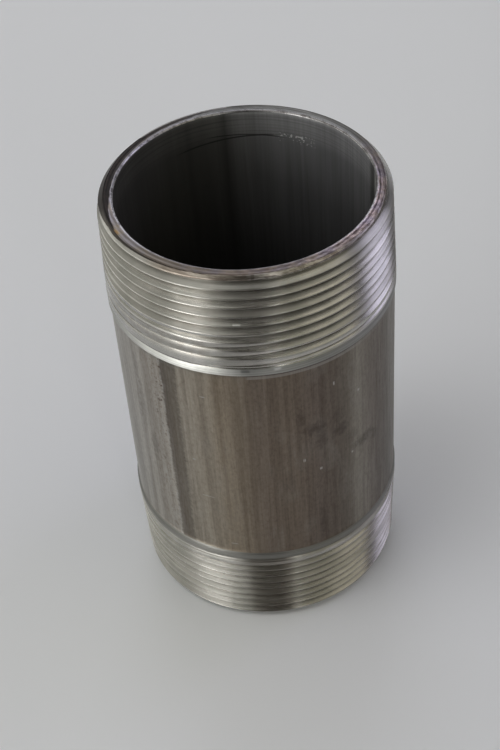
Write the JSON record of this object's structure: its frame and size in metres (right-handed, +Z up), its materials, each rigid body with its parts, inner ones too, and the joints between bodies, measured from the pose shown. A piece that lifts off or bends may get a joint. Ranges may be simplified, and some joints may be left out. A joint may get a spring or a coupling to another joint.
{
  "type": "threaded pipe nipple",
  "caption": "Short stainless steel pipe nipple with a tapered male pipe thread on each end and a plain barrel between, for joining two female pipe fittings.",
  "frame": {"origin": "centre of the lower end face, which the nipple stands on", "axes": "+Z up along the pipe's axis; the two ends are alike, and +X and +Y are square to the axis"},
  "size_m": [0.0608, 0.0608, 0.1016],
  "materials": {
    "stainless_steel": "bright machined threads and end faces, dull pickled barrel with lengthwise mill streaks"
  },
  "bodies": {
    "root": {"pipe_nipple": "stainless_steel"}
  },
  "joints": []
}
